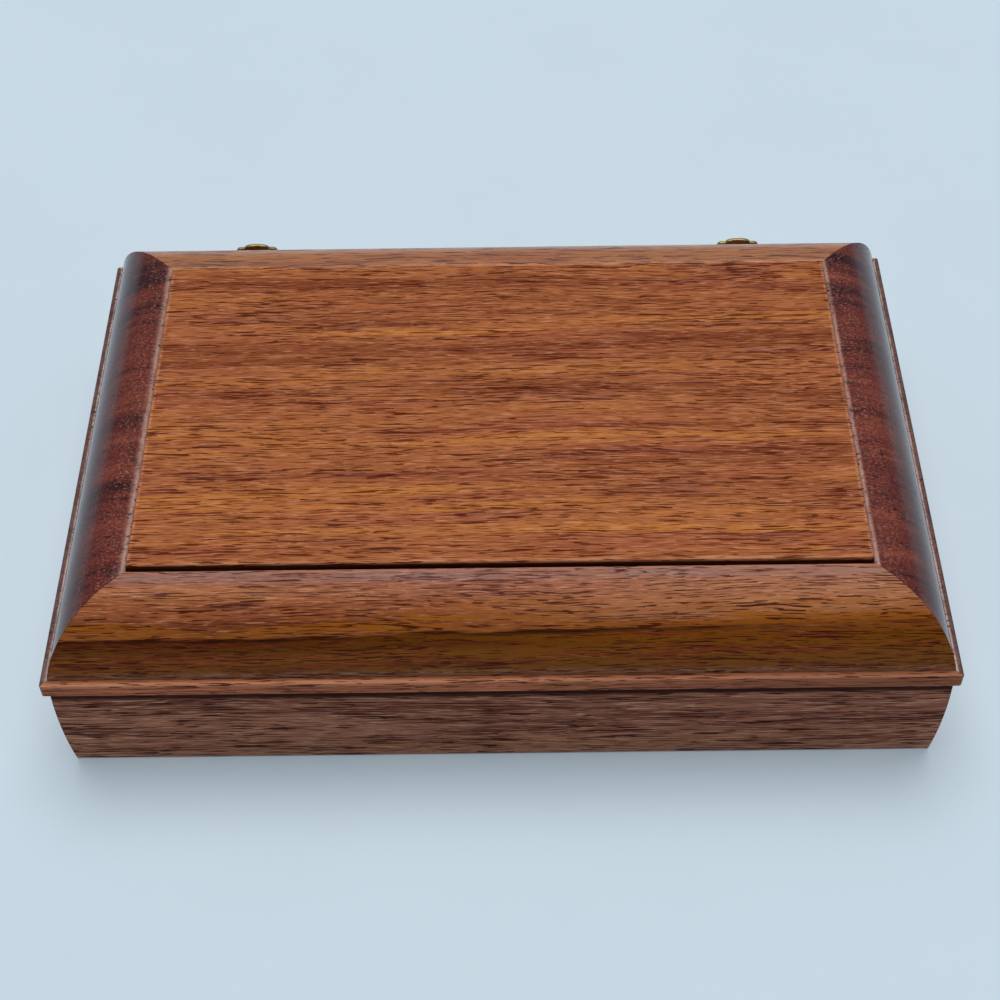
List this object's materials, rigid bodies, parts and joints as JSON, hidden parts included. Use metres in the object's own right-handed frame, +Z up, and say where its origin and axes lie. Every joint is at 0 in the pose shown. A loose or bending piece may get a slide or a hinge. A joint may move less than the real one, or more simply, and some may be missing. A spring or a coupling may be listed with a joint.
{
  "type": "trinket box",
  "caption": "Low hardwood keepsake box with a mitred, moulded lid frame round a raised flat panel, on brass hinges at the back.",
  "frame": {"origin": "middle of the underside, on the surface the box stands on, centred on the outline of the lid's lip", "axes": "+X to the right along the length, +Y to the hinges at the back, +Z up"},
  "size_m": [0.254, 0.1711, 0.0627],
  "materials": {
    "rail_wood": "red-brown hardwood with a worn satin polish",
    "panel_wood": "orange-brown open-pored hardwood, satin",
    "board_wood": "darker brown hardwood with fine streaks, satin",
    "bottom_wood": "plain unpolished hardwood",
    "hinge_brass": "aged brass",
    "screw_brass": "aged brass"
  },
  "bodies": {
    "base": {"base_front_board": "board_wood", "base_right_board": "board_wood", "base_back_board": "board_wood", "base_left_board": "board_wood", "bottom_panel": "bottom_wood", "left_hinge_base_leaf": "hinge_brass", "left_hinge_pin": "screw_brass", "left_hinge_base_screw_1": "screw_brass", "left_hinge_base_screw_2": "screw_brass", "right_hinge_base_leaf": "hinge_brass", "right_hinge_pin": "screw_brass", "right_hinge_base_screw_1": "screw_brass", "right_hinge_base_screw_2": "screw_brass"},
    "lid": {"lid_front_rail": "rail_wood", "lid_right_rail": "rail_wood", "lid_back_rail": "rail_wood", "lid_left_rail": "rail_wood", "lid_panel": "panel_wood", "left_hinge_lid_leaf": "hinge_brass", "left_hinge_lid_screw_1": "screw_brass", "left_hinge_lid_screw_2": "screw_brass", "right_hinge_lid_leaf": "hinge_brass", "right_hinge_lid_screw_1": "screw_brass", "right_hinge_lid_screw_2": "screw_brass"}
  },
  "joints": [
    {"name": "lid_hinge", "type": "hinge", "parent": "base", "child": "lid", "pos_m": [0, 0.08435, 0.03625], "axis": [-1, 0, 0], "range_deg": [0, 180]}
  ]
}
